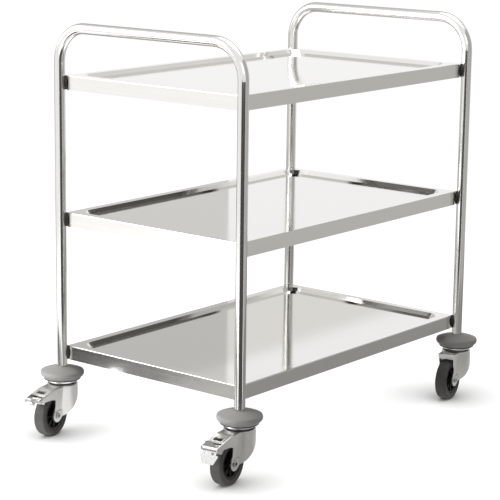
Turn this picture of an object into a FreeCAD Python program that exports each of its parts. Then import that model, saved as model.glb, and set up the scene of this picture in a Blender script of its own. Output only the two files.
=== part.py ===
import FreeCAD, Part
import math
import os

# Three-shelf serving trolley in stainless steel: two tube end frames, three pressed trays and
# four swivel castors under round wall bumpers. Millimetres, +Z up. The floor is z = 0 and the
# origin is under the middle of the whole trolley. The brakes are on the two castors at -X, the
# long side at -Y is called the front.
V = FreeCAD.Vector

# End frames: one bent tube each, two posts and a push rail
tube_d = 25.0
tube_wall = 1.5
post_spacing_x = 882.0
post_spacing_y = 545.0
rail_above_shelf = 124.0
bend_r = 80.0

# Shelves
low_shelf_clearance = 16.5
shelf_pitch = 322.0
shelf_count = 3
apron_h = 34.0
sheet = 1.0
tray_inset = 8.0
corner_chamfer = 8.0
edge_r = 2.0
rim_w = 22.0
recess_depth = 9.0
recess_slope = 6.0
recess_corner_r = 38.0
lip_w = 11.0

# Shelf fastening at each corner
bolt_r = 2.5
bolt_hole_r = 2.6
bolt_head_r = 4.4
bolt_head_h = 3.6
bolt_hex_r = 1.7
bolt_hex_depth = 2.0
spacer_half_w = 9.0
spacer_end_half_w = 3.5
spacer_step = 1.0
insert_r = 4.2
insert_h = 5.0
bolt_over = 1.0

# Castor, common sizes
wheel_r = 50.0
tyre_w = 30.0
trail = 50.0
headings_deg = {"front_left": 7.0, "back_left": 10.0, "front_right": 10.0, "back_right": 8.0}
tyre_h = 13.0
tyre_shoulder_r = 5.0
tyre_bead_w = 24.0
hub_w = 30.0
hub_boss_r = 13.0
hub_rim_w = 22.0
hub_rim_t = 6.0
hub_web_w = 5.0
hub_rib_w = 3.0
hub_rib_count = 8
hub_rib_half_w = 9.0
bush_r = 6.5
bush_w = 31.2
axle_r = 4.0
running_gap = 0.06
axle_head_r = 7.0
axle_head_h = 3.0
axle_hex_r = 3.9
axle_hex_depth = 2.0
nut_r = 7.5
nut_h = 6.0
nut_hole_gap = 0.05

# Fork, pressed from sheet
fork_sheet = 2.5
fork_edge_r = 3.0
fork_neck_r = 7.0
crown_clearance = 18.0
leg_end_gap = 2.0
fork_head_r = 36.5
leg_half_top = 22.5
leg_half_low = 17.5
leg_front_out = 16.0
waist_out = 8.5
waist_high = 30.0
waist_low = 19.0
boss_r = 16.0
pad_step = 2.0
pad_high = 11.0
boss_start_deg = 20.0
boss_end_deg = 230.0
back_mid_in = 48.0
back_mid_high = 17.0
skirt_h = 6.5
arch_drop = 30.0
arch_gap = 1.5
seat_in_r = 19.0
seat_out_r = 27.5
seat_h = 1.4
kingpin_gap = 0.06

# Nose of the braked fork
nose_out = 74.0
nose_drop = 13.5
nose_blend = 8.0
nose_end_h = 8.0
nose_low_out = 22.0
nose_low_drop = 24.5
nose_corner_out = 7.5
nose_corner_drop = 29.0
web_out = 49.5
window_out = 30.0
window_len = 13.0
window_w = 22.0

# Swivel bearing, dust seal and bumper stack above the fork
ball_r = 2.5
ball_track_r = 24.0
ball_count = 20
track_gap = 0.1
race_gap = 0.6
cup_h = 8.0
cup_low_r = 29.0
cup_high_r = 36.0
cup_hollow_r = 17.5
cup_hollow_h = 3.4
seal_t = 2.0
seal_r = 43.5
bumper_r = 52.0
bumper_h = 27.5
bumper_floor = 6.0
bumper_bottom_r = 43.0
bumper_neck_r = 15.5
bumper_rim_shares = ((1.0, 0.47), (0.965, 0.24), (0.965, 0.66))
bumper_dome_shares = (0.68, 0.85)
tube_socket_gap = 0.1

# Castor stem, expander and its cone nut inside the tube
stem_r = 6.0
stem_head_r = 9.5
stem_head_h = 4.5
stem_head_gap = 0.3
sleeve_gap = 0.1
sleeve_lift = 1.0
sleeve_len = 32.0
cone_h = 8.0
cone_low_r = 9.8
cone_high_r = 8.4
stem_over = 3.0

# Brake: pedal at the nose tip and the blade that bears on the tyre
pedal_out = 68.0
pedal_drop = 18.0
pedal_pin_r = 2.5
pedal_hub_r = 5.2
pedal_hub_gap = 0.5
pedal_sheet = 2.2
tread_len = 34.0
tread_start = 15.0
tread_root_w = 48.0
tread_tip_w = 29.0
neck_w = 35.0
release_len = 18.0
release_root_w = 31.0
release_tip_w = 21.0
release_notch = 2.6
notch_shares = (0.5, 0.85)
tread_angle_deg = -70.0
release_angle_deg = 75.0
cam_angle_deg = 225.0
cam_len = 12.0
cam_w = 12.0
cam_t = 4.0
neck_hole_r = 3.2
neck_hole_at = 9.8
neck_hole_y = 8.5
pedal_swing_deg = 95.0
blade_drop = 10.0
blade_pin_r = 2.0
blade_knuckle_r = 3.4
blade_sheet = 2.0
blade_w = 22.0
blade_bend_out = 40.0
blade_bend_drop = 19.4
blade_tip_out = 59.0
blade_tip_drop = 31.0
shoe_out = 27.0
shoe_len = 13.0
shoe_low_drop = 37.4
shoe_w = 24.0
shoe_gap = 0.3
blade_swing_deg = 7.5
pin_side_gap = 0.1

overrun = 5.0
tiny = 0.001
tight_share = 1.1

# Worked-out sizes: radii and the stack of heights from the floor up
tube_r = tube_d / 2
tube_in_r = tube_r - tube_wall
tyre_inner_r = wheel_r - tyre_h
hub_rim_inner_r = tyre_inner_r - hub_rim_t
crown_top = 2 * wheel_r + crown_clearance
crown_under = crown_top - fork_sheet
cup_bottom = crown_top + seat_h + race_gap
cup_top = cup_bottom + cup_h
seal_top = cup_top + seal_t
post_bottom = seal_top + bumper_floor
bumper_top = seal_top + bumper_h
sleeve_bottom = post_bottom + sleeve_lift
ball_z = (crown_top + seat_h + cup_bottom) / 2
shelf_low = bumper_top + low_shelf_clearance + apron_h
shelf_tops = [shelf_low + n * shelf_pitch for n in range(shelf_count)]
shelf_names = ["bottom_tray", "middle_tray", "top_tray"]
rail_z = shelf_tops[-1] + rail_above_shelf - tube_r

# Plan sizes
half_x = post_spacing_x / 2
half_y = post_spacing_y / 2
tray_half_x = half_x - tray_inset
tray_half_y = half_y - tray_inset
chamfer_dist = (2 * tray_inset + corner_chamfer) / math.sqrt(2)
corners = {"front_left": (-1, -1), "back_left": (-1, 1), "front_right": (1, -1), "back_right": (1, 1)}
braked = ("front_left", "back_left")
locked = "front_left"

# Places in the castor's own frame: u is measured from the swivel axis towards the wheel
fork_low = wheel_r - boss_r - leg_end_gap
pad_top_z = wheel_r + pad_high
leg_front = trail + leg_front_out
waist_u = trail + waist_out
nose_u = trail + nose_out
nose_top_z = crown_top - nose_drop
nose_low_z = crown_top - nose_low_drop
web_end_u = trail + web_out
window_u = trail + window_out
arch_z = crown_top - arch_drop
pedal_u = trail + pedal_out
pedal_z = crown_top - pedal_drop
blade_u = trail
blade_z = crown_top - blade_drop
shoe_u = trail + shoe_out


def leg_half(z):
    """Half the width over the fork's two legs at a height: they taper towards the axle."""
    return leg_half_low + (leg_half_top - leg_half_low) * (z - fork_low) / (crown_top - fork_low)


axle_face = leg_half(wheel_r) + pad_step

# Shape helpers


def box(x0, x1, y0, y1, z0, z1):
    return Part.makeBox(x1 - x0, y1 - y0, z1 - z0, V(x0, y0, z0))


def cylinder(r, start, end):
    axis = end.sub(start)
    return Part.makeCylinder(r, axis.Length, start, axis)


def across(r, u, z, half):
    """A round bar across the fork at (u, z), from -half to +half in Y."""
    return cylinder(r, V(u, -half, z), V(u, half, z))


def prism_xz(points, half):
    """Outline in the XZ plane, extruded the same way to both sides of it."""
    wire = Part.makePolygon([V(u, -half, z) for u, z in points + points[:1]])
    return Part.Face(wire).extrude(V(0, 2 * half, 0))


def turned(points, start=V(0, 0, 0), axis=V(0, 0, 1)):
    """Solid of revolution about Z from (radius, height) points joined by straight lines."""
    wire = Part.makePolygon([V(r, 0, z) for r, z in points + points[:1]])
    return Part.Face(wire).revolve(start, axis, 360)


def hexagon(r, start, direction, depth):
    """Six-sided bar with corner radius r, from start along direction."""
    shape = Part.Face(Part.makePolygon(
        [V(r * math.cos(math.radians(60 * n)), r * math.sin(math.radians(60 * n)), 0) for n in range(7)]
    )).extrude(V(0, 0, depth))
    shape.Placement = FreeCAD.Placement(start, FreeCAD.Rotation(V(0, 0, 1), direction))
    return shape


def moved(shape, x, y, z=0.0):
    out = shape.copy()
    out.translate(V(x, y, z))
    return out


def spun(shape, centre, axis, angle):
    out = shape.copy()
    out.rotate(centre, axis, angle)
    return out


def edges_where(shape, test):
    return [e for e in shape.Edges if test(e.BoundBox)]


def save(node, shape, shift_x):
    solids = shape.Solids
    shape = moved(solids[0] if len(solids) == 1 else Part.makeCompound(solids), shift_x, 0)
    if not shape.isValid():
        print("INVALID", node)
    shape.exportStep("parts/%s.step" % node)
    print("%-26s solids %2d  volume %9.1f cm3" % (node, len(solids), shape.Volume / 1000))


# End frames


def frame_path(x):
    """Centre line of one end frame: up a post, over two round bends, down the other post."""
    k = bend_r * (1 - math.sqrt(0.5))
    low, knee = post_bottom, rail_z - bend_r
    pieces = [
        Part.LineSegment(V(x, -half_y, low), V(x, -half_y, knee)),
        Part.Arc(V(x, -half_y, knee), V(x, -half_y + k, rail_z - k), V(x, -half_y + bend_r, rail_z)),
        Part.LineSegment(V(x, -half_y + bend_r, rail_z), V(x, half_y - bend_r, rail_z)),
        Part.Arc(V(x, half_y - bend_r, rail_z), V(x, half_y - k, rail_z - k), V(x, half_y, knee)),
        Part.LineSegment(V(x, half_y, knee), V(x, half_y, low)),
    ]
    return Part.Wire([p.toShape() for p in pieces])


def swept(x, r):
    ring = Part.Wire(Part.makeCircle(r, V(x, -half_y, post_bottom), V(0, 0, 1)))
    return frame_path(x).makePipeShell([ring], True, False)


def corner_axis(sx, sy, z):
    """Start at the post's axis and the direction to the tray's corner, at one shelf corner."""
    inward = V(-sx, -sy, 0).multiply(math.sqrt(0.5))
    return V(sx * half_x, sy * half_y, z), inward


def bolt_heights():
    return [top - apron_h / 2 for top in shelf_tops]


def end_frame(side):
    x = side * half_x
    shape = swept(x, tube_r).cut(swept(x, tube_in_r))
    for sy in (-1, 1):
        for z in bolt_heights():
            at, inward = corner_axis(side, sy, z)
            shape = shape.cut(cylinder(insert_r, at, at + inward * (tube_r + overrun)))
    return shape


# Trays


def rounded_rectangle(half_a, half_b, r, z):
    """Rectangle with round corners, centred on the posts' middle."""
    k = r * (1 - math.sqrt(0.5))
    edges = []
    for n, (a, b) in enumerate(((half_a, half_b), (-half_a, half_b), (-half_a, -half_b), (half_a, -half_b))):
        sa, sb = math.copysign(1, a), math.copysign(1, b)
        along_y = V(a, b - sb * r, z)
        along_x = V(a - sa * r, b, z)
        first, last = (along_y, along_x) if n % 2 == 0 else (along_x, along_y)
        edges.append((first, V(a - sa * k, b - sb * k, z), last))
    pieces = []
    for n, (first, middle, last) in enumerate(edges):
        pieces.append(Part.Arc(first, middle, last).toShape())
        pieces.append(Part.LineSegment(last, edges[(n + 1) % len(edges)][0]).toShape())
    return Part.Wire(pieces)


def recess(grow, depth, top, lift=0.0):
    """The sunk pan's space, larger by grow on every side, from depth below the rim up past it."""
    a, b = tray_half_x - rim_w + grow, tray_half_y - rim_w + grow
    low_r = recess_corner_r - recess_slope + grow
    low = rounded_rectangle(a - recess_slope, b - recess_slope, low_r, top - depth)
    high = rounded_rectangle(a, b, recess_corner_r + grow, top)
    pan = Part.makeLoft([low, high], True, True)
    if lift:
        pan = pan.fuse(Part.Face(high).extrude(V(0, 0, lift)))
    return pan


def chamfered_block(shrink, top, low, round_r):
    """The tray's outer block with its four upright corners cut off and its top edge rounded."""
    a, b, c = tray_half_x - shrink, tray_half_y - shrink, corner_chamfer - shrink * (2 - math.sqrt(2))
    points = [(a - c, -b), (a, -b + c), (a, b - c), (a - c, b),
              (-a + c, b), (-a, b - c), (-a, -b + c), (-a + c, -b)]
    wire = Part.makePolygon([V(x, y, low) for x, y in points + points[:1]])
    block = Part.Face(wire).extrude(V(0, 0, top - low))
    upper = edges_where(block, lambda bb: bb.ZMin > (low + top) / 2)
    return block.makeFillet(round_r, upper)


def tray(top):
    low = top - apron_h
    outer = chamfered_block(0.0, top, low, edge_r)
    inner = chamfered_block(sheet, top - sheet, low + sheet, edge_r - sheet)
    pan_out = recess(sheet, recess_depth + sheet, top)
    hollow = inner.cut(pan_out)
    mouth = Part.makePolygon([V(x, y, low - overrun) for x, y in (
        (tray_half_x - lip_w, tray_half_y - lip_w), (-tray_half_x + lip_w, tray_half_y - lip_w),
        (-tray_half_x + lip_w, -tray_half_y + lip_w), (tray_half_x - lip_w, -tray_half_y + lip_w),
        (tray_half_x - lip_w, tray_half_y - lip_w))])
    shape = outer.cut(hollow).cut(Part.Face(mouth).extrude(V(0, 0, overrun + 2 * sheet)))
    shape = shape.cut(recess(0.0, recess_depth, top, overrun))
    for sx, sy in corners.values():
        at, inward = corner_axis(sx, sy, top - apron_h / 2)
        shape = shape.cut(cylinder(bolt_hole_r, at, at + inward * (chamfer_dist + overrun)))
    return shape


def spacer(at, inward):
    """Saddle between a post and a tray's corner: almost as high as the apron, widest at its middle."""
    side = V(-inward.y, inward.x, 0)
    half = apron_h / 2 - spacer_step

    def p(w, z):
        return at + side * w + V(0, 0, z)

    wide, narrow = spacer_half_w, spacer_end_half_w
    outline = Part.Wire([
        Part.Arc(p(-narrow, -half), p(-wide, 0), p(-narrow, half)).toShape(),
        Part.LineSegment(p(-narrow, half), p(narrow, half)).toShape(),
        Part.Arc(p(narrow, half), p(wide, 0), p(narrow, -half)).toShape(),
        Part.LineSegment(p(narrow, -half), p(-narrow, -half)).toShape(),
    ])
    return Part.Face(outline).extrude(inward * chamfer_dist)


def shelf_fasteners():
    """Spacer, screw and tube insert at each of the twelve shelf corners."""
    spacers, bolts, inserts = [], [], []
    for top in shelf_tops:
        z = top - apron_h / 2
        for sx, sy in corners.values():
            at, inward = corner_axis(sx, sy, z)
            post = cylinder(tube_r, V(at.x, at.y, z - apron_h), V(at.x, at.y, z + apron_h))
            bore = cylinder(bolt_hole_r, at, at + inward * (chamfer_dist + overrun))
            spacers.append(spacer(at, inward).cut(post).cut(bore))
            seat = chamfer_dist + sheet
            tip = at + inward * (tube_in_r - insert_h - bolt_over)
            screw = cylinder(bolt_r, tip, at + inward * seat)
            screw = screw.fuse(cylinder(bolt_head_r, at + inward * seat, at + inward * (seat + bolt_head_h)))
            socket_at = at + inward * (seat + bolt_head_h - bolt_hex_depth)
            bolts.append(screw.cut(hexagon(bolt_hex_r, socket_at, inward, bolt_hex_depth + overrun)))
            inside = at + inward * (tube_in_r - insert_h)
            insert = cylinder(insert_r, inside, at + inward * (tube_r + overrun)).common(post)
            insert = insert.cut(cylinder(bolt_r, at, at + inward * (chamfer_dist + overrun)))
            inserts.append(insert)
    return spacers, bolts, inserts


# Castor parts, built with the swivel axis at the origin and the wheel trailing towards +X


def keyhole(shrink, front, z, leg_half):
    """Plan outline of the fork: round head behind, two straight legs in front."""
    r, half = fork_head_r - shrink, leg_half - shrink
    joint = math.sqrt(r * r - half * half)
    return Part.Wire([
        Part.LineSegment(V(front, -half, z), V(front, half, z)).toShape(),
        Part.LineSegment(V(front, half, z), V(joint, half, z)).toShape(),
        Part.Arc(V(joint, half, z), V(-r, 0, z), V(joint, -half, z)).toShape(),
        Part.LineSegment(V(joint, -half, z), V(front, -half, z)).toShape(),
    ])


def fork_envelope(shrink, front):
    wires = [keyhole(shrink, front, fork_low, leg_half_low), keyhole(shrink, front, crown_top, leg_half_top)]
    return Part.makeLoft(wires, True, True)


def side_profile(has_nose):
    """Outline of the fork seen from the side, as an area in the XZ plane."""
    def line(a, b):
        return Part.LineSegment(V(a[0], 0, a[1]), V(b[0], 0, b[1])).toShape()

    def arc(a, b, c):
        return Part.Arc(V(a[0], 0, a[1]), V(b[0], 0, b[1]), V(c[0], 0, c[1])).toShape()

    def boss(angle_deg):
        angle = math.radians(angle_deg)
        return trail + boss_r * math.cos(angle), wheel_r + boss_r * math.sin(angle)

    boss_right, boss_low, boss_left = boss(boss_start_deg), boss(-90), boss(boss_end_deg)
    neck_low, neck = (waist_u, wheel_r + waist_low), (waist_u, wheel_r + waist_high)
    back_mid = (trail - back_mid_in, wheel_r + back_mid_high)
    skirt = (-fork_head_r, crown_top - skirt_h)
    skirt_out, skirt_top = (-fork_head_r - overrun, crown_top - skirt_h), (-fork_head_r - overrun, crown_top)
    edges = [arc(boss_right, boss_low, boss_left), arc(boss_left, back_mid, skirt), line(skirt, skirt_out),
             line(skirt_out, skirt_top)]
    if has_nose:
        corner = (trail + nose_corner_out, crown_top - nose_corner_drop)
        low = (trail + nose_low_out, nose_low_z)
        tip_low, tip_top = (nose_u, nose_top_z - nose_end_h), (nose_u, nose_top_z)
        # The top bends down along a short arc that is tangent to the level part and to the slope.
        angle = math.atan2(nose_drop, nose_out - leg_front_out)
        dip = nose_blend * (1 / math.sin(angle / 2) - 1 / math.tan(angle / 2))
        start = (leg_front - nose_blend, crown_top)
        middle = (leg_front - dip * math.sin(angle / 2), crown_top - dip * math.cos(angle / 2))
        end = (leg_front + nose_blend * math.cos(angle), crown_top - nose_blend * math.sin(angle))
        edges += [line(skirt_top, start), arc(start, middle, end), line(end, tip_top), line(tip_top, tip_low),
                  line(tip_low, low), line(low, corner), line(corner, neck_low), line(neck_low, boss_right)]
    else:
        front_high = (leg_front, crown_top)
        edges += [line(skirt_top, front_high), line(front_high, neck), line(neck, neck_low),
                  line(neck_low, boss_right)]
    return Part.Face(Part.Wire(edges))


def nose_strip():
    """The fork's top sheet seen from the side: level over the head, then falling along the nose."""
    back = -fork_head_r - overrun
    slope = nose_drop / (nose_u - leg_front)
    web_end_z = crown_top - slope * (web_end_u - leg_front)
    return [(back, crown_top), (leg_front, crown_top), (web_end_u, web_end_z),
            (web_end_u, web_end_z - fork_sheet), (leg_front, crown_under), (back, crown_under)]


def fork_block(side, front):
    """The fork before it is hollowed, with the bends of its sheet as round edges."""
    block = fork_envelope(0.0, front).common(side)
    necks = edges_where(block, lambda bb: bb.XMin > 0 and bb.XMax < waist_u and bb.ZLength > nose_drop)
    block = block.makeFillet(fork_neck_r, necks)
    if front == leg_front:
        rims = edges_where(block, lambda bb: (bb.ZMin > nose_top_z or
                                              bb.ZMax > crown_under and bb.XMax > leg_front - tiny))
    else:
        rims = edges_where(block, lambda bb: (bb.ZMin > nose_top_z - tiny and
                                              (bb.YMin * bb.YMax > 0 or bb.XMin < 0)))
    return block.makeFillet(fork_edge_r, rims)


def fork(has_nose):
    front = nose_u if has_nose else leg_front
    half = fork_head_r + overrun
    side = side_profile(has_nose)
    side.translate(V(0, -half, 0))
    side = side.extrude(V(0, 2 * half, 0))
    outer = fork_block(side, front)
    inner = fork_envelope(fork_sheet, front + overrun if has_nose else front - fork_sheet)
    walls = outer.cut(inner)
    if has_nose:
        top = outer.common(prism_xz(nose_strip(), half))
        shape = walls.fuse(top)
        window = box(window_u, window_u + window_len, -window_w / 2, window_w / 2,
                     nose_low_z, crown_top + overrun)
        shape = shape.cut(window)
        shape = shape.cut(across(pedal_pin_r, pedal_u, pedal_z, half))
        shape = shape.cut(across(blade_pin_r, blade_u, blade_z, half))
    else:
        arch_r = leg_half_top - fork_sheet - arch_gap
        arch = cylinder(arch_r, V(waist_u - fork_sheet, 0, arch_z), V(leg_front + overrun, 0, arch_z))
        below = box(waist_u - fork_sheet, leg_front + overrun, -arch_r, arch_r, fork_low, arch_z)
        top = outer.common(box(-half, leg_front, -half, half, crown_under, crown_top))
        shape = walls.cut(arch).cut(below).fuse(top)
    seat = turned([(seat_in_r, crown_under), (seat_out_r, crown_under), (seat_out_r, crown_top + seat_h),
                   (seat_in_r, crown_top + seat_h)])
    shape = shape.fuse(seat).fuse(axle_pads(side))
    shape = shape.cut(Part.makeTorus(ball_track_r, ball_r + track_gap, V(0, 0, ball_z)))
    shape = shape.cut(cylinder(stem_r + kingpin_gap, V(0, 0, crown_under - overrun),
                               V(0, 0, crown_top + overrun)))
    shape = shape.cut(across(axle_r + nut_hole_gap, trail, wheel_r, half))
    return shape.removeSplitter()


def axle_pads(side):
    """Upright pad round the axle hole on each tapering leg, cut to the leg's outline."""
    band = box(0, leg_front + overrun, -axle_face, axle_face, fork_low, pad_top_z)
    return band.cut(fork_envelope(fork_sheet / 2, leg_front + 2 * overrun)).common(side)


def tyre():
    half, r, s = tyre_w / 2, wheel_r, tyre_shoulder_r
    k = s * (1 - math.sqrt(0.5))
    bead = tyre_bead_w / 2
    points = [(tyre_inner_r, -bead), (r - s, -half), (r, -half + s),
              (r, half - s), (r - s, half), (tyre_inner_r, bead)]

    def at(p):
        return V(trail + p[0], p[1], wheel_r)

    edges = [
        Part.LineSegment(at(points[0]), at(points[1])).toShape(),
        Part.Arc(at(points[1]), at((r - k, -half + k)), at(points[2])).toShape(),
        Part.LineSegment(at(points[2]), at(points[3])).toShape(),
        Part.Arc(at(points[3]), at((r - k, half - k)), at(points[4])).toShape(),
        Part.LineSegment(at(points[4]), at(points[5])).toShape(),
        Part.LineSegment(at(points[5]), at(points[0])).toShape(),
    ]
    return Part.Face(Part.Wire(edges)).revolve(V(trail, 0, wheel_r), V(0, 1, 0), 360)


def ring(r_in, r_out, half):
    """A flat ring round the axle, half wide to each side."""
    return across(r_out, trail, wheel_r, half).cut(across(r_in, trail, wheel_r, half + overrun))


def wheel_hub():
    """Plastic wheel centre: rim, web with radial ribs, and the boss that takes the bush."""
    shape = ring(hub_rim_inner_r, tyre_inner_r, hub_rim_w / 2)
    shape = shape.fuse(ring(bush_r, tyre_inner_r, hub_web_w / 2)).fuse(ring(bush_r, hub_boss_r, hub_w / 2))
    rib = box(trail + (bush_r + hub_boss_r) / 2, trail + (hub_rim_inner_r + tyre_inner_r) / 2,
              -hub_rib_half_w, hub_rib_half_w, wheel_r - hub_rib_w / 2, wheel_r + hub_rib_w / 2)
    for n in range(hub_rib_count):
        shape = shape.fuse(spun(rib, V(trail, 0, wheel_r), V(0, 1, 0), 360.0 * n / hub_rib_count))
    return shape.removeSplitter()


def axle_bush():
    return ring(axle_r + running_gap, bush_r, bush_w / 2)


def axle_bolt():
    """Screw through both legs, with its head on the +Y side and a six-sided socket."""
    face = axle_face
    end = -(face + nut_h + fork_sheet / 2)
    shape = cylinder(axle_r, V(trail, end, wheel_r), V(trail, face, wheel_r))
    shape = shape.fuse(cylinder(axle_head_r, V(trail, face, wheel_r), V(trail, face + axle_head_h, wheel_r)))
    socket_at = V(trail, face + axle_head_h - axle_hex_depth, wheel_r)
    return shape.cut(hexagon(axle_hex_r, socket_at, V(0, 1, 0), axle_hex_depth + overrun))


def axle_nut():
    face = axle_face
    shape = hexagon(nut_r, V(trail, -face, wheel_r), V(0, -1, 0), nut_h)
    return shape.cut(cylinder(axle_r, V(trail, -face - nut_h - overrun, wheel_r), V(trail, 0, wheel_r)))


def ball_ring():
    turns = [2 * math.pi * n / ball_count for n in range(ball_count)]
    return Part.makeCompound([
        Part.makeSphere(ball_r, V(ball_track_r * math.cos(turn), ball_track_r * math.sin(turn), ball_z))
        for turn in turns])


# What stays on the trolley's frame above each fork


def swivel_cup():
    inner = cup_bottom + cup_hollow_h
    shape = turned([(stem_r, inner), (cup_hollow_r, inner), (cup_hollow_r, cup_bottom),
                    (cup_low_r, cup_bottom), (cup_high_r, cup_top), (stem_r, cup_top)])
    return shape.cut(Part.makeTorus(ball_track_r, ball_r + track_gap, V(0, 0, ball_z)))


def dust_seal():
    return turned([(stem_r, cup_top), (seal_r, cup_top), (seal_r, seal_top), (stem_r, seal_top)])


def bumper():
    """Round wall bumper, domed on top, with a socket that takes the tube's end."""
    z0, z1 = seal_top, bumper_top
    (mid_r, mid_h), (low_r, low_h), (high_r, high_h) = bumper_rim_shares
    rim = [V(bumper_r * r, 0, z0 + bumper_h * h)
           for r, h in ((high_r, high_h), (mid_r, mid_h), (low_r, low_h))]
    dome = V(bumper_r * bumper_dome_shares[0], 0, z0 + bumper_h * bumper_dome_shares[1])
    socket_r = tube_r + tube_socket_gap
    low, neck = V(bumper_bottom_r, 0, z0), V(bumper_neck_r, 0, z1)
    edges = [
        Part.Arc(neck, dome, rim[0]).toShape(),
        Part.Arc(rim[0], rim[1], rim[2]).toShape(),
        Part.LineSegment(rim[2], low).toShape(),
        Part.LineSegment(low, V(stem_r, 0, z0)).toShape(),
        Part.LineSegment(V(stem_r, 0, z0), V(stem_r, 0, post_bottom)).toShape(),
        Part.LineSegment(V(stem_r, 0, post_bottom), V(socket_r, 0, post_bottom)).toShape(),
        Part.LineSegment(V(socket_r, 0, post_bottom), V(socket_r, 0, z1)).toShape(),
        Part.LineSegment(V(socket_r, 0, z1), neck).toShape(),
    ]
    return Part.Face(Part.Wire(edges)).revolve(V(0, 0, 0), V(0, 0, 1), 360)


def stem():
    """Kingpin and castor stem in one: riveted head under the fork, shank up into the tube."""
    head_top = crown_under - stem_head_gap
    top = sleeve_bottom + sleeve_len + cone_h + stem_over
    return turned([(0, head_top - stem_head_h), (stem_head_r - stem_head_h / 2, head_top - stem_head_h),
                   (stem_head_r, head_top - stem_head_h / 2), (stem_head_r, head_top), (stem_r, head_top),
                   (stem_r, top), (0, top)])


def expander_sleeve():
    r_out, top = tube_in_r - sleeve_gap, sleeve_bottom + sleeve_len
    return turned([(stem_r, sleeve_bottom), (r_out, sleeve_bottom), (r_out, top), (stem_r, top)])


def cone_nut():
    low = sleeve_bottom + sleeve_len
    return turned([(stem_r, low), (cone_low_r, low), (cone_high_r, low + cone_h), (stem_r, low + cone_h)])


# Brake parts, in their locked position


def on_pedal(shape, angle_deg):
    """From a plate's flat frame, with the pin at the origin, to its angle at the pedal's pin."""
    return moved(spun(shape, V(0, 0, 0), V(0, 1, 0), -angle_deg), pedal_u, 0, pedal_z)


def plate(start, end, root_w, tip_w):
    """Flat stamped plate leaving the pin along +X, its width running from root to tip."""
    outline = Part.makePolygon([V(r, y, -pedal_sheet / 2) for r, y in (
        (start, -root_w / 2), (end, -tip_w / 2), (end, tip_w / 2), (start, root_w / 2),
        (start, -root_w / 2))])
    return Part.Face(outline).extrude(V(0, 0, pedal_sheet))


def release_plate():
    """The smaller plate that frees the brake, with notches in both edges."""
    shape = plate(0.0, release_len, release_root_w, release_tip_w)
    half = release_notch / 2
    for share in notch_shares:
        x, edge = release_len * share, (release_root_w + (release_tip_w - release_root_w) * share) / 2
        for y in (-edge, edge):
            shape = shape.cut(box(x - half, x + half, y - 2 * half, y + 2 * half, -pedal_sheet, pedal_sheet))
    return shape


def pedal():
    hub_half = leg_half(pedal_z) - fork_sheet - pedal_hub_gap
    shape = across(pedal_hub_r, pedal_u, pedal_z, hub_half)
    tread = plate(tread_start - pedal_sheet, tread_len, tread_root_w, tread_tip_w)
    tread = tread.makeFillet(pedal_sheet, [e for e in tread.Edges if e.Length < pedal_sheet * tight_share])
    neck = plate(0.0, tread_start, neck_w, neck_w)
    for side in (-1, 1):
        at = V(neck_hole_at, side * neck_hole_y, 0)
        neck = neck.cut(cylinder(neck_hole_r, at - V(0, 0, pedal_sheet), at + V(0, 0, pedal_sheet)))
    cam = box(0.0, cam_len, -cam_w / 2, cam_w / 2, -cam_t / 2, cam_t / 2)
    for piece, angle in ((neck, tread_angle_deg), (tread, tread_angle_deg),
                         (release_plate(), release_angle_deg), (cam, cam_angle_deg)):
        shape = shape.fuse(on_pedal(piece, angle))
    return shape.cut(across(pedal_pin_r + running_gap, pedal_u, pedal_z, hub_half + overrun)).removeSplitter()


def pedal_pin():
    return across(pedal_pin_r, pedal_u, pedal_z, leg_half(pedal_z))


def blade_pin():
    return across(blade_pin_r, blade_u, blade_z, leg_half(blade_z))


def blade():
    """Brake lever under the fork's top sheet, with a shoe hollowed to the tyre's curve."""
    t = blade_sheet
    bend_u, bend_z = trail + blade_bend_out, crown_top - blade_bend_drop
    tip_u, tip_z = trail + blade_tip_out, crown_top - blade_tip_drop
    flat = [(blade_u, blade_z + t / 2), (bend_u, bend_z + t), (tip_u, tip_z + t),
            (tip_u, tip_z), (bend_u, bend_z), (blade_u, blade_z - t / 2)]
    shape = prism_xz(flat, blade_w / 2).fuse(across(blade_knuckle_r, blade_u, blade_z, blade_w / 2))
    slope = (blade_z - bend_z) / (bend_u - blade_u)
    near, far, low = shoe_u, shoe_u + shoe_len, crown_top - shoe_low_drop
    shoe = prism_xz([(near, blade_z - slope * (near - blade_u)), (far, blade_z - slope * (far - blade_u)),
                     (far, low), (near, low)], shoe_w / 2)
    shape = shape.fuse(shoe).cut(across(wheel_r + shoe_gap, trail, wheel_r, shoe_w))
    return shape.cut(across(blade_pin_r + running_gap, blade_u, blade_z, shoe_w)).removeSplitter()


# The whole trolley


def place(shape, name):
    """From the castor's own frame to its corner, turned to the way that the castor trails."""
    sx, sy = corners[name]
    out = spun(shape, V(0, 0, 0), V(0, 0, 1), 180 + headings_deg[name])
    return moved(out, sx * half_x, sy * half_y)


def brake(name):
    """Pedal, blade and their pins of one braked castor, pressed down or released."""
    lift = 0.0 if name == locked else 1.0
    raised = spun(pedal(), V(pedal_u, 0, pedal_z), V(0, 1, 0), -pedal_swing_deg * lift)
    eased = spun(blade(), V(blade_u, 0, blade_z), V(0, 1, 0), -blade_swing_deg * lift)
    return {"brake_pedal": raised, "brake_blade": eased,
            "pedal_pin": pedal_pin(), "brake_blade_pin": blade_pin()}


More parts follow.
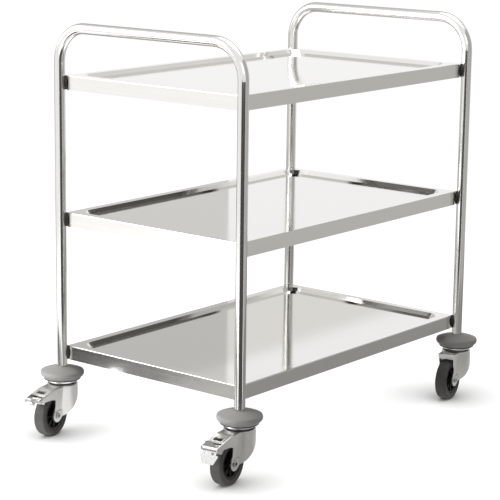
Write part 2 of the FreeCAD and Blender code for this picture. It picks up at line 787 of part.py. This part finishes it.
def pieces():
    """Every node of the trolley by name, with the origin under the middle of the posts."""
    nodes = {"left_end_frame": end_frame(-1), "right_end_frame": end_frame(1)}
    for name, top in zip(shelf_names, shelf_tops):
        nodes[name] = tray(top)
    for name, shapes in zip(("shelf_spacers", "shelf_screws", "tube_inserts"), shelf_fasteners()):
        nodes[name] = Part.makeCompound(shapes)
    for node, shape in (("castor_stems", stem()), ("expander_sleeves", expander_sleeve()),
                        ("cone_nuts", cone_nut())):
        nodes[node] = Part.makeCompound([place(shape, name) for name in corners])
    fork_shapes = {True: fork(True), False: fork(False)}
    common = {"bumper": bumper(), "dust_seal": dust_seal(), "swivel_cup": swivel_cup(),
              "ball_ring": ball_ring(), "axle_bolt": axle_bolt(), "axle_nut": axle_nut(),
              "axle_bush": axle_bush(), "wheel_hub": wheel_hub(), "tyre": tyre()}
    for name in corners:
        own = {"fork": fork_shapes[name in braked], **common}
        if name in braked:
            own.update(brake(name))
        for part, shape in own.items():
            nodes[part + "_" + name] = place(shape, name)
    return nodes


def main():
    os.makedirs("parts", exist_ok=True)
    nodes = pieces()
    # The castors all trail the same way, so the trolley's middle isn't midway between the posts.
    boxes = [shape.optimalBoundingBox(False, False) for shape in nodes.values()]
    shift_x = -(min(b.XMin for b in boxes) + max(b.XMax for b in boxes)) / 2
    for node, shape in nodes.items():
        save(node, shape, shift_x)
    print("shift along X %.3f mm, height %.3f mm" % (shift_x, max(b.ZMax for b in boxes)))


main()
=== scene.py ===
# %% [markdown]
# # Serving trolley
# A kitchen serving trolley in stainless steel: two bent tube end frames carry three pressed trays, and
# the posts end in round grey bumpers over swivel castors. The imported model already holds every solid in
# its real place and size, so this lesson is about looks: light, camera, finishes and the fine detail
# that a solid alone doesn't show. The model comes first, because all the rest is fitted to it.

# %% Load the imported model
import math
import bmesh
import bpy
from mathutils import Matrix, Vector


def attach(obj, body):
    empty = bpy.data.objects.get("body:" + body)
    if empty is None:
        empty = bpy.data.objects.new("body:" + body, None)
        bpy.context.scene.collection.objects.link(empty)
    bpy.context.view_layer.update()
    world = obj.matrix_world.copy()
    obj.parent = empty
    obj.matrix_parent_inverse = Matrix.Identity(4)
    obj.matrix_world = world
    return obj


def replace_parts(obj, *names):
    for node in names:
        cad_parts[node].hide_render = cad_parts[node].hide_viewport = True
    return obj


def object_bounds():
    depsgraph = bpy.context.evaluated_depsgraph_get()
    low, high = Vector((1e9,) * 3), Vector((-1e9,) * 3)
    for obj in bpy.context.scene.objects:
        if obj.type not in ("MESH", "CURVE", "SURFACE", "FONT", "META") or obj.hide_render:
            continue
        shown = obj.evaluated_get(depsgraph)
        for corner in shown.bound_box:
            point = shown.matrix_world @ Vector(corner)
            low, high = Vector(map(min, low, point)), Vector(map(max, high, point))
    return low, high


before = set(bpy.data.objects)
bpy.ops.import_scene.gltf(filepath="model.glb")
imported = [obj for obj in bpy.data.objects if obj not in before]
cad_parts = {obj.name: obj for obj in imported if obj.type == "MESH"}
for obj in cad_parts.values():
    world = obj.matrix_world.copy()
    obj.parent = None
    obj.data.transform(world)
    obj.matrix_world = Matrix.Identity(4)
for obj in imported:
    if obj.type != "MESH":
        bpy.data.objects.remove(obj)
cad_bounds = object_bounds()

scene = bpy.context.scene
scene.view_settings.view_transform = "Standard"
size = cad_bounds[1] - cad_bounds[0]
print("trolley %.3f x %.3f x %.3f m, %d nodes" % (size.x, size.y, size.z, len(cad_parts)))

# %% [markdown]
# ## The camera
# The photograph was taken with a long lens from the front left corner, a little above the top shelf. Its
# place was worked out from the posts and the shelf edges. A camera could be aimed with a Track To
# constraint, but writing down its three axes keeps the small roll, so those are used here.

# %% Camera
YAW, PITCH, ROLL = math.radians(-51.337), math.radians(12.09), math.radians(0.72)
CAMERA_PLACE = (-3.4546, -2.7459, 1.3611)
LENS_MM, SENSOR_MM = 133.98, 36
ahead = Vector((-math.sin(YAW) * math.cos(PITCH), math.cos(YAW) * math.cos(PITCH), -math.sin(PITCH)))
flat = Vector((math.cos(YAW), math.sin(YAW), 0))
steep = flat.cross(ahead)
right = math.cos(ROLL) * flat + math.sin(ROLL) * steep
upper = math.cos(ROLL) * steep - math.sin(ROLL) * flat

camera_data = bpy.data.cameras.new("studio_camera")
camera_data.sensor_width = SENSOR_MM
camera_data.lens = LENS_MM
camera_data.clip_end = 100
camera = bpy.data.objects.new("studio_camera", camera_data)
camera_axes = Matrix((right, upper, -ahead)).transposed().to_4x4()
camera.matrix_world = Matrix.Translation(CAMERA_PLACE) @ camera_axes
scene.collection.objects.link(camera)
scene.camera = camera
print("lens %.1f mm, camera height %.2f m" % (camera_data.lens, camera.location.z))

# %% [markdown]
# ## Small helpers for nodes
# Every finish below is a tree of shader nodes. Nodes can be joined by hand in the editor. In a script a
# few short helpers do it: they make a node and fill in its sockets, work out a number or a blend, open a
# new material with its Principled shader ready, or open a node group.

# %% Node helpers


def add_node(tree, kind, values=None, **settings):
    """A new node, with attributes from settings and sockets from values (a link or a constant)."""
    node = tree.nodes.new(kind)
    for name, value in settings.items():
        setattr(node, name, value)
    for name, value in (values or {}).items():
        if isinstance(value, bpy.types.NodeSocket):
            tree.links.new(value, node.inputs[name])
        else:
            node.inputs[name].default_value = value
    return node


def work_out(tree, operation, first, second=0.0):
    """The result of one Math node."""
    return add_node(tree, "ShaderNodeMath", {0: first, 1: second}, operation=operation).outputs[0]


def blend(tree, share, low, high):
    """The number between low and high that a share from 0 to 1 picks."""
    return add_node(tree, "ShaderNodeMix", {0: share, 2: low, 3: high}).outputs[0]


def blend_colours(tree, share, low, high):
    """The colour between low and high that a share from 0 to 1 picks."""
    return add_node(tree, "ShaderNodeMix", {0: share, 6: low, 7: high}, data_type="RGBA").outputs[2]


def new_material(name, **sockets):
    """A material whose Principled shader has the given constants on its own sockets."""
    material = bpy.data.materials.new(name)
    material.use_nodes = True
    shader = material.node_tree.nodes["Principled BSDF"]
    for socket, value in sockets.items():
        shader.inputs[socket.replace("_", " ")].default_value = value
    return material, material.node_tree, shader


def new_group(name, inputs, outputs):
    """A shader node group whose sockets are named and typed in two dictionaries."""
    tree = bpy.data.node_groups.new(name, "ShaderNodeTree")
    for label, (kind, default) in inputs.items():
        tree.interface.new_socket(label, in_out="INPUT", socket_type=kind).default_value = default
    for label, kind in outputs.items():
        tree.interface.new_socket(label, in_out="OUTPUT", socket_type=kind)
    return tree, tree.nodes.new("NodeGroupInput").outputs, tree.nodes.new("NodeGroupOutput").inputs


FLOAT, VECTOR = "NodeSocketFloat", "NodeSocketVector"
print("helpers ready")

# %% [markdown]
# ## The white room
# The trolley stands on plain white paper. Bright lamps could burn the paper out, but they would burn the
# pale steel too. So the world and the floor show white to the camera and to reflections by themselves,
# and the lamps stay at a plain level. The world sends soft light to everything else.

# %% World
SOFT_LIGHT = 0.18
WHITE = (1, 1, 1, 1)
world = bpy.data.worlds.new("white_room")
world.use_nodes = True
scene.world = world
tree = world.node_tree
tree.nodes.clear()


def seen_directly(tree):
    """1 for what the camera, a mirror or clear glass sees, 0 for soft light."""
    path = add_node(tree, "ShaderNodeLightPath")
    seen = work_out(tree, "MAXIMUM", path.outputs["Is Camera Ray"], path.outputs["Is Glossy Ray"])
    return work_out(tree, "MAXIMUM", seen, path.outputs["Is Transmission Ray"])


soft = add_node(tree, "ShaderNodeBackground", {"Color": WHITE, "Strength": SOFT_LIGHT})
white = add_node(tree, "ShaderNodeBackground", {"Color": WHITE, "Strength": 1.0})
mix = add_node(tree, "ShaderNodeMixShader", {0: seen_directly(tree), 1: soft.outputs[0], 2: white.outputs[0]})
add_node(tree, "ShaderNodeOutputWorld", {"Surface": mix.outputs[0]})
print("world: soft light %.2f, white behind" % SOFT_LIGHT)

# %% [markdown]
# The floor is one large sheet with two looks. Soft light meets plain pale paper. The camera and polished
# steel see a darker paper with a lift added, which reaches white where nothing shades it and keeps the
# lamps' shadows faint. Ambient Occlusion takes the lift away close to the wheels, which paints the small
# soft shadows that make the trolley stand instead of float.

# %% Floor
FLOOR_HALF = 30.0
PAPER_LIFT = 0.95
SHADE_REACH, SHADE_CURVE = 0.17, 1.7
floor_mesh = bpy.data.meshes.new("floor")
bm = bmesh.new()
bmesh.ops.create_grid(bm, x_segments=1, y_segments=1, size=FLOOR_HALF)
bm.to_mesh(floor_mesh)
bm.free()
floor = bpy.data.objects.new("floor", floor_mesh)
scene.collection.objects.link(floor)

paper, tree, shader = new_material("floor_paper", Base_Color=(0.86, 0.86, 0.85, 1), Roughness=0.9,
                                   Specular_IOR_Level=0.0)
# painted shadow: Ambient Occlusion dims the floor's glow close to the wheels
shade = add_node(tree, "ShaderNodeAmbientOcclusion", {"Distance": SHADE_REACH}, samples=16)
lift = work_out(tree, "MULTIPLY", work_out(tree, "POWER", shade.outputs["AO"], SHADE_CURVE), PAPER_LIFT)
glow = add_node(tree, "ShaderNodeEmission", {"Strength": lift})
lit = add_node(tree, "ShaderNodeBsdfDiffuse", {"Color": (0.40, 0.40, 0.395, 1)})
both = add_node(tree, "ShaderNodeAddShader", {0: lit.outputs[0], 1: glow.outputs[0]})
room = add_node(tree, "ShaderNodeMixShader",
                {0: seen_directly(tree), 1: shader.outputs[0], 2: both.outputs[0]})
tree.links.new(room.outputs[0], tree.nodes["Material Output"].inputs["Surface"])
floor_mesh.materials.append(paper)
print("floor %.0f m wide, lift %.2f" % (2 * FLOOR_HALF, PAPER_LIFT))

# %% [markdown]
# ## Lamps
# A soft box on the left, one above and a weak fill near the camera light the trolley. Shiny steel needs
# little of them, but rubber does: one more lamp stands low on the left and isn't shown in reflections,
# so it lightens the matte bumpers and tyres and leaves the steel as it is.

# %% Lamps


def area_lamp(name, place, aim, width, height, watts):
    """A rectangular lamp that points from its place at its aim and isn't in the picture itself."""
    data = bpy.data.lights.new(name, "AREA")
    data.shape, data.size, data.size_y, data.energy = "RECTANGLE", width, height, watts
    lamp = bpy.data.objects.new(name, data)
    turn = (Vector(aim) - Vector(place)).to_track_quat("-Z", "Y").to_matrix().to_4x4()
    lamp.matrix_world = Matrix.Translation(place) @ turn
    lamp.visible_camera = False
    scene.collection.objects.link(lamp)
    return lamp


area_lamp("left_soft_box", (-1.45, 1.45, 1.55), (0.0, 0.0, 0.75), 2.2, 1.2, 42)
area_lamp("top_soft_box", (0.4, -0.3, 3.4), (0.0, 0.0, 0.5), 2.4, 2.4, 45)
area_lamp("front_fill", (-2.6, -3.4, 2.4), (0.0, 0.0, 0.5), 1.6, 1.6, 9)
low_left_box = area_lamp("low_left_box", (-2.2, 0.7, 0.55), (-0.45, 0.0, 0.12), 1.6, 0.6, 28)
low_left_box.visible_glossy = False

# %% [markdown]
# ## Cards
# Polished tube shows its surroundings as upright stripes: white, near black, then mid grey. White is the
# room itself and its lamps, black a dark card on the camera's side, grey a long card before the near
# side. Cards behind and above do the same for slopes and decks. The cards on the floor paint a
# reflection of shade: sheets darker than the paper, where the floor around and under the trolley lies in
# its shade, for the aprons and forks to mirror. They are seen by reflections alone, as a real studio
# keeps its flags out of the picture, and they shade nothing. Each lies a millimetre or so clear of the
# floor or of another, so none flickers.

# %% Cards
CARD_TINT = (1, 0.99, 0.96, 1)


def card(name, corners, brightness):
    """A flat sheet with the given corners, seen by reflections alone."""
    mesh = bpy.data.meshes.new(name)
    bm = bmesh.new()
    bm.faces.new([bm.verts.new(corner) for corner in corners])
    bm.to_mesh(mesh)
    bm.free()
    material = bpy.data.materials.new(name)
    material.use_nodes = True
    tree = material.node_tree
    tree.nodes.clear()
    light = add_node(tree, "ShaderNodeEmission", {"Color": CARD_TINT, "Strength": brightness})
    add_node(tree, "ShaderNodeOutputMaterial", {"Surface": light.outputs[0]})
    mesh.materials.append(material)
    sheet = bpy.data.objects.new(name, mesh)
    sheet.visible_camera = sheet.visible_diffuse = False
    sheet.visible_shadow = sheet.visible_transmission = False
    scene.collection.objects.link(sheet)


def upright(start, end, low, high):
    """Corners of an upright sheet over the line from start to end."""
    return [(*start, low), (*end, low), (*end, high), (*start, high)]


def level(z, *plan):
    """Corners of a level sheet at height z."""
    return [(x, y, z) for x, y in plan]


card("dark_card", upright((-1.35, -0.35), (-0.54, -1.56), 0.0, 0.82), 0.08)
card("grey_card", upright((-0.47, -1.66), (2.40, -0.95), 0.0, 2.1), 0.50)
card("ceiling_card", level(3.0, (2.2, -1.2), (4.2, -1.2), (4.6, 4.3), (-0.3, 4.3), (-0.3, 1.2), (1.4, 1.2)),
     0.75)
card("low_back_card", upright((-0.42, 0.62), (0.65, 0.62), 0.05, 0.52), 0.58)
card("right_back_card", upright((0.65, 0.62), (2.20, 0.62), 0.05, 0.52), 0.80)
card("high_back_card", upright((-0.42, 0.62), (0.65, 0.62), 0.52, 0.88), 0.70)
# the floor cards below are painted shade seen in reflections: glowing sheets darker than the paper where the
# floor lies in the trolley's shade
card("dark_floor_card", level(0.003, (-1.30, -0.42), (-0.56, -1.52), (-0.40, -0.92), (-1.02, -0.35)), 0.07)
card("near_floor_card",
     level(0.002, (-1.02, -0.35), (-0.40, -0.92), (0.10, -0.80), (-0.30, -0.30), (-0.70, -0.10)), 0.38)
card("front_floor_card", level(0.001, (-0.30, -1.62), (2.40, -0.95), (2.20, -0.50), (-0.30, -0.50)), 0.29)
card("under_floor_card", level(0.001, (-0.30, -0.50), (2.20, -0.50), (2.20, 0.45), (-0.30, 0.45)), 0.55)
card("left_floor_light", level(0.002, (-1.25, -0.10), (-0.72, -0.10), (-0.72, 0.32), (-1.25, 0.32)), 0.48)
card("left_floor_grey", level(0.002, (-1.25, 0.32), (-0.72, 0.32), (-0.72, 0.60), (-1.25, 0.60)), 0.22)
card("left_floor_dark", level(0.002, (-1.25, 0.60), (-0.72, 0.60), (-0.72, 1.10), (-1.25, 1.10)), 0.06)
card("back_floor_card", level(0.002, (0.60, 0.60), (3.00, 0.60), (3.00, 2.60), (0.60, 2.60)), 0.35)

# %% [markdown]
# ## Shared surface effects
# Steel, rubber and plastic all show the same few things up close: fine lines left by drawing and
# brushing, marks of hands and cloths, and dust low down. Each effect is a node group, built once, and
# every finish uses it with its own values.

# %% Drawn lines
BROAD_SHARE = 0.12
tree, given, result = new_group(
    "drawn_lines",
    {"Stretch": (VECTOR, (1, 1, 1)), "Fineness": (FLOAT, 1.0), "Contrast": (FLOAT, 1.0)},
    {"Height": FLOAT, "Streak": FLOAT})
place = add_node(tree, "ShaderNodeTexCoord").outputs["Object"]
stretched = add_node(tree, "ShaderNodeVectorMath", {0: place, 1: given["Stretch"]}, operation="MULTIPLY")
fine = add_node(tree, "ShaderNodeTexNoise",
                {"Vector": stretched.outputs[0], "Scale": given["Fineness"], "Detail": 3.0, "Roughness": 0.6})
broad = work_out(tree, "MULTIPLY", given["Fineness"], BROAD_SHARE)
wide = add_node(tree, "ShaderNodeTexNoise", {"Vector": stretched.outputs[0], "Scale": broad, "Detail": 2.0})
centred = work_out(tree, "SUBTRACT", wide.outputs["Fac"], 0.5)
tree.links.new(fine.outputs["Fac"], result["Height"])
tree.links.new(work_out(tree, "MULTIPLY", centred, given["Contrast"]), result["Streak"])
drawn_lines = tree
print("drawn lines:", len(tree.nodes), "nodes")

# %% Hand marks
tree, given, result = new_group(
    "hand_marks", {"Size": (FLOAT, 9.0), "Amount": (FLOAT, 1.0)}, {"Mark": FLOAT})
place = add_node(tree, "ShaderNodeTexCoord").outputs["Object"]
cloud = add_node(tree, "ShaderNodeTexNoise",
                 {"Vector": place, "Scale": given["Size"], "Detail": 5.0, "Roughness": 0.55, "Distortion": 0.6})
clear = add_node(tree, "ShaderNodeMapRange",
                 {"Value": cloud.outputs["Fac"], "From Min": 0.48, "From Max": 0.75})
tree.links.new(work_out(tree, "MULTIPLY", clear.outputs[0], given["Amount"]), result["Mark"])
hand_marks = tree
print("hand marks:", len(tree.nodes), "nodes")

# %% Floor dust
tree, given, result = new_group(
    "floor_dust", {"Top": (FLOAT, 0.06), "Amount": (FLOAT, 1.0)}, {"Dust": FLOAT})
place = add_node(tree, "ShaderNodeTexCoord").outputs["Object"]
height = add_node(tree, "ShaderNodeSeparateXYZ", {0: place}).outputs["Z"]
low = add_node(tree, "ShaderNodeMapRange", {"Value": height, "From Min": given["Top"], "From Max": 0.0})
speck = add_node(tree, "ShaderNodeTexNoise",
                 {"Vector": place, "Scale": 260.0, "Detail": 4.0, "Roughness": 0.7})
grit = work_out(tree, "MULTIPLY", speck.outputs["Fac"], low.outputs[0])
tree.links.new(work_out(tree, "MULTIPLY", grit, given["Amount"]), result["Dust"])
floor_dust = tree
print("groups:", [g.name for g in bpy.data.node_groups])

# %% [markdown]
# ## Steel
# One recipe serves all the bare metal but the trays: a metallic Principled shader whose roughness wanders
# a little with the drawn lines and the hand marks, with a faint Bump from the same lines. Ambient
# Occlusion paints shade into the colour in sockets and inner corners. On the tubes the lines run up the
# posts and across the push rail, as drawing and bending leave them. Their Specular Tint, which for a
# metal is the tint where light grazes it, is grey, because a tube's edge would otherwise vanish against
# the white paper.

# %% Steel recipe
EVEN, ROUND_THE_CUP = (1.0, 1.0, 1.0), (0.1, 0.1, 1.0)
CORNER_REACH = 0.007
RAIL_START, RAIL_BLEND, LINE_SHARE = 0.94, 0.02, 0.04
EDGE_TINT = (0.5, 0.5, 0.5, 1)


def use_group(tree, group, **values):
    """A node group placed in a tree with its own values; its outputs."""
    node = tree.nodes.new("ShaderNodeGroup")
    node.node_tree = group
    for name, value in values.items():
        if isinstance(value, bpy.types.NodeSocket):
            tree.links.new(value, node.inputs[name])
        else:
            node.inputs[name].default_value = value
    return node.outputs


def add_up(tree, *terms):
    """The sum of sockets and numbers."""
    total = terms[0]
    for term in terms[1:]:
        total = work_out(tree, "ADD", total, term)
    return total


def painted_corner_shade(tree, reach, floor):
    """Painted shade: 1 on open faces, falling to the given floor in sockets and inner corners."""
    open_to_air = add_node(tree, "ShaderNodeAmbientOcclusion", {"Distance": reach}, samples=8)
    return add_node(tree, "ShaderNodeMapRange",
                    {"Value": open_to_air.outputs["AO"], "From Min": 0.25, "From Max": 0.85,
                     "To Min": floor, "To Max": 1.0}).outputs[0]


def along_tube(tree):
    """Stretch for lines that run up the posts and, above RAIL_START, across the push rail."""
    place = add_node(tree, "ShaderNodeTexCoord").outputs["Object"]
    height = add_node(tree, "ShaderNodeSeparateXYZ", {0: place}).outputs["Z"]
    rail_top = RAIL_START + RAIL_BLEND
    on_rail = add_node(tree, "ShaderNodeMapRange",
                       {"Value": height, "From Min": RAIL_START, "From Max": rail_top})
    sideways = blend(tree, on_rail.outputs[0], 1.0, LINE_SHARE)
    upward = blend(tree, on_rail.outputs[0], LINE_SHARE, 1.0)
    return add_node(tree, "ShaderNodeCombineXYZ", {"X": 1.0, "Y": sideways, "Z": upward}).outputs[0]


def steel(name, colour, roughness, stretch, fineness, contrast, marks, depth, corner=0.45):
    """A bare metal; stretch is a vector, or a helper that makes one from nodes."""
    material, tree, shader = new_material(name, Metallic=1.0)
    if callable(stretch):
        stretch = stretch(tree)
    lines = use_group(tree, drawn_lines, Stretch=stretch, Fineness=fineness, Contrast=contrast)
    hands = use_group(tree, hand_marks, Amount=marks)
    tree.links.new(add_up(tree, lines["Streak"], hands["Mark"], roughness), shader.inputs["Roughness"])
    tint = add_node(tree, "ShaderNodeMapRange",
                    {"Value": lines["Height"], "From Min": 0.2, "From Max": 0.8,
                     "To Min": 0.94, "To Max": 1.04})
    # the colour is the drawn lines' random tint times painted shade from Ambient Occlusion in sockets and inner
    # corners
    grain_tint_and_painted_shade = work_out(tree, "MULTIPLY", tint.outputs[0], painted_corner_shade(tree, CORNER_REACH, corner))
    shaded = add_node(tree, "ShaderNodeVectorMath", {0: colour, "Scale": grain_tint_and_painted_shade}, operation="SCALE")
    tree.links.new(shaded.outputs[0], shader.inputs["Base Color"])
    bump = add_node(tree, "ShaderNodeBump", {"Height": lines["Height"], "Strength": depth, "Distance": 0.0004})
    tree.links.new(bump.outputs[0], shader.inputs["Normal"])
    return material


tube_steel = steel("tube_steel", (0.79, 0.78, 0.755), 0.135, along_tube, 900.0,
                   contrast=0.08, marks=0.03, depth=0.02)
tube_steel.node_tree.nodes["Principled BSDF"].inputs["Specular Tint"].default_value = EDGE_TINT
castor_steel = steel("castor_steel", (0.80, 0.795, 0.775), 0.34, EVEN, 420.0,
                     contrast=0.1, marks=0.08, depth=0.05)
cup_steel = steel("cup_steel", (0.85, 0.85, 0.84), 0.07, ROUND_THE_CUP, 900.0,
                  contrast=0.08, marks=0.03, depth=0.02)
# the screws' low corner value paints deep shade into their sockets
screw_steel = steel("screw_steel", (0.60, 0.60, 0.58), 0.24, EVEN, 700.0,
                    contrast=0.1, marks=0.05, depth=0.04, corner=0.05)
pedal_steel = steel("pedal_steel", (0.74, 0.74, 0.73), 0.26, EVEN, 900.0,
                    contrast=0.04, marks=0.03, depth=0.015)
print("steels:", [m.name for m in bpy.data.materials if "steel" in m.name])

# %% [markdown]
# The tray is one pressed sheet with two finishes. The deck and rim lie flat and are polished almost like
# a mirror. The upright aprons are brushed along their length and are rougher. The face's own direction
# tells them apart, so one material can carry both. The underside's colour is darkened with painted
# shade, and it is what the slopes of the tray below it mirror.

# %% Tray sheet
DECK_ROUGH, APRON_ROUGH = 0.07, 0.16
DECK_COLOUR, APRON_COLOUR = (0.80, 0.79, 0.77, 1), (0.86, 0.85, 0.82, 1)
LENGTHWISE, UNDERSIDE_SHADE_SHARE = 0.02, 0.36
tray_steel, tree, shader = new_material("tray_steel", Metallic=1.0)
normal = add_node(tree, "ShaderNodeNewGeometry").outputs["Normal"]
facing = add_node(tree, "ShaderNodeSeparateXYZ", {0: normal}).outputs["Z"]
lying = work_out(tree, "ABSOLUTE", facing)
deck = add_node(tree, "ShaderNodeMapRange", {"Value": lying, "From Min": 0.25, "From Max": 0.65}).outputs[0]
stretch = add_node(tree, "ShaderNodeCombineXYZ",
                   {"X": LENGTHWISE, "Y": blend(tree, deck, LENGTHWISE, 1.0), "Z": 1.0})
lines = use_group(tree, drawn_lines, Stretch=stretch.outputs[0], Fineness=1100.0, Contrast=0.1)
hands = use_group(tree, hand_marks, Size=5.0, Amount=0.035)
base = blend(tree, deck, APRON_ROUGH, DECK_ROUGH)
tree.links.new(add_up(tree, base, lines["Streak"], hands["Mark"]), shader.inputs["Roughness"])
colour = blend_colours(tree, deck, APRON_COLOUR, DECK_COLOUR)
# painted shade: faces that look down get a darker colour, as if lying in shadow
under = add_node(tree, "ShaderNodeMapRange", {"Value": facing, "From Min": -0.5, "From Max": -0.9}).outputs[0]
painted_underside_shade = blend(tree, under, 1.0, UNDERSIDE_SHADE_SHARE)
shaded = add_node(tree, "ShaderNodeVectorMath", {0: colour, "Scale": painted_underside_shade}, operation="SCALE")
tree.links.new(shaded.outputs[0], shader.inputs["Base Color"])
bump = add_node(tree, "ShaderNodeBump", {"Height": lines["Height"], "Strength": 0.05, "Distance": 0.0004})
tree.links.new(bump.outputs[0], shader.inputs["Normal"])
print("tray sheet: deck %.2f, aprons %.2f rough" % (DECK_ROUGH, APRON_ROUGH))

# %% [markdown]
# ## Rubber and plastic
# The bumpers, tyres and seals are not metallic. A noise changes their colour a little and pits the
# surface, marks of hands dull it in places, and dust from the floor settles low on the tyres and hubs.

# %% Rubber recipe
DUST_COLOUR = (0.30, 0.28, 0.25, 1)


def matte(name, colour, roughness, grain=500.0, depth=0.15, dust=0.0):
    """Rubber or plastic with pores of the given grain and depth."""
    material, tree, shader = new_material(name, Specular_IOR_Level=0.35)
    place = add_node(tree, "ShaderNodeTexCoord").outputs["Object"]
    pores = add_node(tree, "ShaderNodeTexNoise",
                     {"Vector": place, "Scale": grain, "Detail": 4.0, "Roughness": 0.6}).outputs["Fac"]
    hands = use_group(tree, hand_marks, Size=26.0, Amount=0.12)
    tint = add_node(tree, "ShaderNodeMapRange", {"Value": pores, "To Min": 0.86, "To Max": 1.14})
    shaded = add_node(tree, "ShaderNodeVectorMath", {0: colour, "Scale": tint.outputs[0]}, operation="SCALE")
    settled = use_group(tree, floor_dust, Amount=dust)
    dusty = blend_colours(tree, settled["Dust"], shaded.outputs[0], DUST_COLOUR)
    tree.links.new(dusty, shader.inputs["Base Color"])
    tree.links.new(add_up(tree, hands["Mark"], roughness), shader.inputs["Roughness"])
    bump = add_node(tree, "ShaderNodeBump", {"Height": pores, "Strength": depth, "Distance": 0.0003})
    tree.links.new(bump.outputs[0], shader.inputs["Normal"])
    return material


bumper_rubber = matte("bumper_rubber", (0.31, 0.305, 0.29), 0.50)
seal_rubber = matte("seal_rubber", (0.025, 0.024, 0.022), 0.45)
tyre_rubber = matte("tyre_rubber", (0.072, 0.070, 0.068), 0.55, grain=380.0, depth=0.25, dust=0.5)
hub_plastic = matte("hub_plastic", (0.006, 0.006, 0.006), 0.40, grain=600.0, depth=0.10, dust=0.25)
sleeve_plastic = matte("sleeve_plastic", (0.05, 0.05, 0.05), 0.45)
print("rubbers:", [m.name for m in bpy.data.materials if "rubber" in m.name or "plastic" in m.name])

# %% [markdown]
# ## Dressing the nodes
# Each node takes its finish from the first part of its name. A table keeps this short and makes sure that
# no node is forgotten.

# %% Assign finishes
FINISHES = (
    ("left_end_frame", tube_steel), ("right_end_frame", tube_steel),
    ("bottom_tray", tray_steel), ("middle_tray", tray_steel), ("top_tray", tray_steel),
    ("shelf_spacers", seal_rubber), ("shelf_screws", screw_steel), ("tube_inserts", screw_steel),
    ("castor_stems", screw_steel), ("expander_sleeves", sleeve_plastic), ("cone_nuts", screw_steel),
    ("bumper", bumper_rubber), ("dust_seal", seal_rubber), ("swivel_cup", cup_steel),
    ("ball_ring", cup_steel), ("fork", castor_steel),
    ("axle_bolt", screw_steel), ("axle_nut", screw_steel), ("axle_bush", screw_steel),
    ("wheel_hub", hub_plastic), ("tyre", tyre_rubber),
    ("brake_pedal", pedal_steel), ("brake_blade", pedal_steel), ("pedal_pin", screw_steel),
)
for name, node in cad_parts.items():
    finish = next(material for start, material in FINISHES if name.startswith(start))
    node.data.materials.clear()
    node.data.materials.append(finish)
print("dressed", len(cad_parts), "nodes")

# %% [markdown]
# ## Round parts turned again
# A Spin turns a profile about an axis. The swivel cups are turned afresh with a rounded, bellied wall,
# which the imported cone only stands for: the belly catches the white room, and that bright ring is what
# the eye finds first on a castor.

# %% Swivel cups
CUP_STEPS = 96


def box_of(node):
    """Lowest and highest corner of a node's mesh."""
    points = [vertex.co for vertex in node.data.vertices]
    low = Vector([min(p[axis] for p in points) for axis in range(3)])
    high = Vector([max(p[axis] for p in points) for axis in range(3)])
    return low, high


def turned(name, centre, profile, finish):
    """A ring from a closed (radius, height) profile, spun about the upright axis at centre."""
    mesh = bpy.data.meshes.new(name)
    bm = bmesh.new()
    corners = [bm.verts.new((centre.x + r, centre.y, z)) for r, z in profile]
    edges = [bm.edges.new((corners[n - 1], corners[n])) for n in range(len(corners))]
    bmesh.ops.spin(bm, geom=corners + edges, cent=centre, axis=(0, 0, 1), angle=2 * math.pi,
                   steps=CUP_STEPS, use_merge=True)
    bmesh.ops.recalc_face_normals(bm, faces=bm.faces)
    for face in bm.faces:
        face.smooth = True
    bm.to_mesh(mesh)
    bm.free()
    piece = bpy.data.objects.new(name, mesh)
    scene.collection.objects.link(piece)
    mesh.materials.append(finish)
    return piece


CUP_SHARES = ((0.30, 0.0), (0.70, 0.0), (0.86, 0.03), (0.93, 0.14), (0.965, 0.34), (0.975, 0.56),
              (0.97, 0.78), (0.985, 0.88), (0.995, 0.94), (0.995, 1.0), (0.30, 1.0))
for name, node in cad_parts.items():
    if name.startswith("swivel_cup"):
        low, high = box_of(node)
        centre = (low + high) / 2
        radius, height = (high.x - low.x) / 2, high.z - low.z
        rounded = [(radius * r, low.z + height * z) for r, z in CUP_SHARES]
        ring = turned("ring_" + name, centre, rounded, cup_steel)
        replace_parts(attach(ring, "frame"), name)
